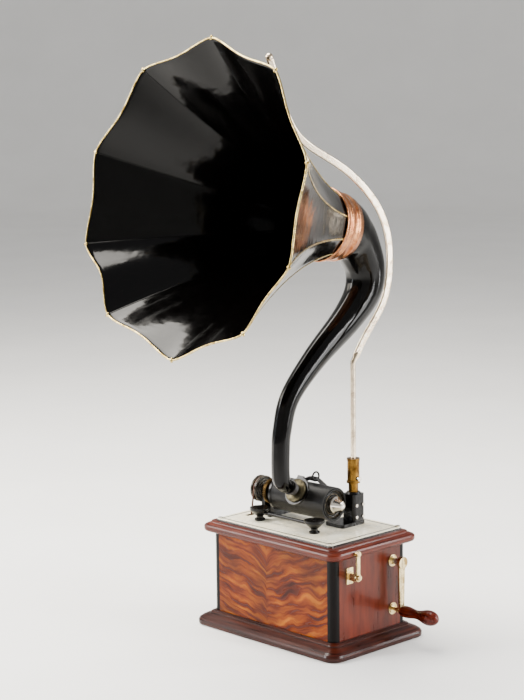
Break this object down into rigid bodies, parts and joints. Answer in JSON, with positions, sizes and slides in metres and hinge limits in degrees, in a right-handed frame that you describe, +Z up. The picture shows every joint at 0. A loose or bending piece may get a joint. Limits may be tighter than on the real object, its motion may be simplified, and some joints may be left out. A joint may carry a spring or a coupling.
{
  "type": "wind up phonograph",
  "caption": "Wind-up cylinder phonograph: wooden cabinet with a spring motor, a crank, a mandrel with a record, and a flower horn hung from a crane.",
  "frame": {"origin": "centre of the cabinet's underside, on the surface it stands on", "axes": "+Z up, the horn's mouth and the cabinet's front towards -Y, the winding crank on the +X side; the mandrel and the motor's shafts lie along X"},
  "size_m": [0.4874, 0.4845, 0.9956],
  "materials": {
    "mahogany_dark": "dark french polish, glossy",
    "mahogany": "french polish, glossy",
    "flame_veneer": "flame figured veneer, glossy",
    "plain_wood": "bare sawn wood",
    "handle_wood": "turned and polished",
    "cream_enamel": "glossy enamel with pinstripes",
    "japanned_black": "glossy black japan",
    "cast_black": "painted black",
    "horn_black": "glossy black",
    "gold_band": "gold bronze paint",
    "copper_ring": "copper plated, burnished",
    "copper_disc": "thin sheet",
    "nickel": "nickel plate",
    "steel": "bright steel",
    "gear_brass": "machined",
    "brass_plate": "polished, slightly tarnished",
    "aged_brass": "aged",
    "lead_weights": "dull",
    "belt_leather": "round belt",
    "black_wax": "hard wax with a fine groove",
    "soft_rubber": "matte"
  },
  "bodies": {
    "cabinet": {"base_moulding": "mahogany_dark", "bottom_board": "plain_wood", "corner_posts": "mahogany_dark", "front_panel": "flame_veneer", "back_panel": "mahogany", "left_panel": "mahogany", "right_panel": "mahogany", "top_moulding": "mahogany", "bedplate": "cream_enamel", "bedplate_screws": "nickel", "escutcheons": "brass_plate", "catch_plates": "brass_plate", "motor_frame": "cast_black", "pulley_bracket": "cast_black", "pedestals": "japanned_black", "front_feet": "japanned_black", "front_rail": "japanned_black", "guide_rod": "steel", "crane_post": "japanned_black", "crane_socket": "aged_brass", "crane_screws": "nickel", "drive_belt": "belt_leather"},
    "catch": {"catch_hook": "brass_plate"},
    "crank": {"crank_shaft": "steel", "winding_pinion": "steel", "crank_arm": "nickel"},
    "crank_grip": {"crank_handle": "handle_wood"},
    "winding_arbor": {"spring_arbor": "steel", "winding_gear": "gear_brass"},
    "click": {"click_pawl": "steel"},
    "barrel": {"spring_barrel": "gear_brass", "mainspring": "steel", "great_wheel": "gear_brass"},
    "second_wheel": {"second_arbor": "gear_brass"},
    "drive": {"drive_shaft": "steel", "drive_pulley": "gear_brass"},
    "governor": {"governor_shaft": "steel", "governor_weights": "lead_weights", "governor_disc": "gear_brass"},
    "brake": {"brake_lever": "japanned_black"},
    "mandrel": {"mandrel": "nickel", "mandrel_shaft": "steel", "mandrel_gear": "gear_brass", "mandrel_pulley": "japanned_black", "mandrel_nuts": "nickel"},
    "record": {"record": "black_wax"},
    "feed_screw": {"feed_screw": "steel"},
    "carriage": {"carriage_sleeve": "gear_brass"},
    "carriage_arm": {"carriage_arm": "japanned_black", "half_nut": "steel", "reproducer": "nickel", "diaphragm": "copper_disc", "stylus_arm": "steel"},
    "crane": {"crane_rod": "nickel"},
    "horn": {"horn_elbow": "horn_black", "horn_collar": "copper_ring", "bell_panels": "horn_black", "bell_rim": "gold_band", "horn_hanger": "steel", "rubber_connector": "soft_rubber"}
  },
  "joints": [
    {"name": "catch_swing", "type": "hinge", "parent": "cabinet", "child": "catch", "pos_m": [0.161, -0.05, 0.17], "axis": [1, 0, 0], "range_deg": [-95, 0]},
    {"name": "crank_turn", "type": "hinge", "parent": "cabinet", "child": "crank", "pos_m": [0.15, 0.054, 0.136], "axis": [1, 0, 0], "continuous": true},
    {"name": "grip_spin", "type": "hinge", "parent": "crank", "child": "crank_grip", "pos_m": [0.2, 0.054, 0.054], "axis": [1, 0, 0], "continuous": true},
    {"name": "arbor_wind", "type": "hinge", "parent": "cabinet", "child": "winding_arbor", "pos_m": [0, -0.00024, 0.10989], "axis": [1, 0, 0], "continuous": true},
    {"name": "click_lift", "type": "hinge", "parent": "cabinet", "child": "click", "pos_m": [0, 0.01088, 0.14413], "axis": [1, 0, 0], "range_deg": [-14, 0]},
    {"name": "mandrel_spin", "type": "hinge", "parent": "cabinet", "child": "mandrel", "pos_m": [0, 0, 0.227], "axis": [1, 0, 0], "continuous": true},
    {"name": "barrel_spin", "type": "hinge", "parent": "cabinet", "child": "barrel", "pos_m": [0, -0.00024, 0.10989], "axis": [1, 0, 0], "continuous": true},
    {"name": "second_spin", "type": "hinge", "parent": "cabinet", "child": "second_wheel", "pos_m": [0, -0.04873, 0.0969], "axis": [1, 0, 0], "continuous": true},
    {"name": "drive_spin", "type": "hinge", "parent": "cabinet", "child": "drive", "pos_m": [0, -0.02932, 0.12004], "axis": [1, 0, 0], "continuous": true},
    {"name": "governor_spin", "type": "hinge", "parent": "cabinet", "child": "governor", "pos_m": [0, -0.01722, 0.09908], "axis": [1, 0, 0], "continuous": true},
    {"name": "feed_spin", "type": "hinge", "parent": "cabinet", "child": "feed_screw", "pos_m": [0, 0.0396, 0.21243], "axis": [1, 0, 0], "continuous": true},
    {"name": "brake_press", "type": "hinge", "parent": "cabinet", "child": "brake", "pos_m": [-0.092, 0.04, 0.172], "axis": [1, 0, 0], "range_deg": [0, 5]},
    {"name": "record_slide", "type": "slide", "parent": "mandrel", "child": "record", "axis": [1, 0, 0], "range_m": [0, 0.145]},
    {"name": "carriage_travel", "type": "slide", "parent": "cabinet", "child": "carriage", "axis": [1, 0, 0], "range_m": [-0.046, 0.035]},
    {"name": "reproducer_lift", "type": "hinge", "parent": "carriage", "child": "carriage_arm", "pos_m": [0, 0.04, 0.233], "axis": [-1, 0, 0], "range_deg": [0, 5], "deforming": ["rubber_connector"]},
    {"name": "crane_swivel", "type": "hinge", "parent": "cabinet", "child": "crane", "pos_m": [0.06, 0.048, 0.29], "axis": [0, 0, 1], "range_deg": [0, 45]},
    {"name": "horn_swing", "type": "hinge", "parent": "crane", "child": "horn", "pos_m": [0.00904, -0.09201, 0.929], "axis": [0, 1, 0], "range_deg": [-3, 4]}
  ],
  "couplings": [
    {"joint": "arbor_wind", "follows": "crank_turn", "ratio": -0.33333},
    {"joint": "drive_spin", "follows": "mandrel_spin", "ratio": 2.5},
    {"joint": "second_spin", "follows": "mandrel_spin", "ratio": -0.5},
    {"joint": "barrel_spin", "follows": "mandrel_spin", "ratio": 0.095238},
    {"joint": "governor_spin", "follows": "mandrel_spin", "ratio": -12.5},
    {"joint": "feed_spin", "follows": "mandrel_spin", "ratio": -1},
    {"joint": "horn_swing", "follows": "carriage_travel", "rad_per_m": -1.4881}
  ]
}
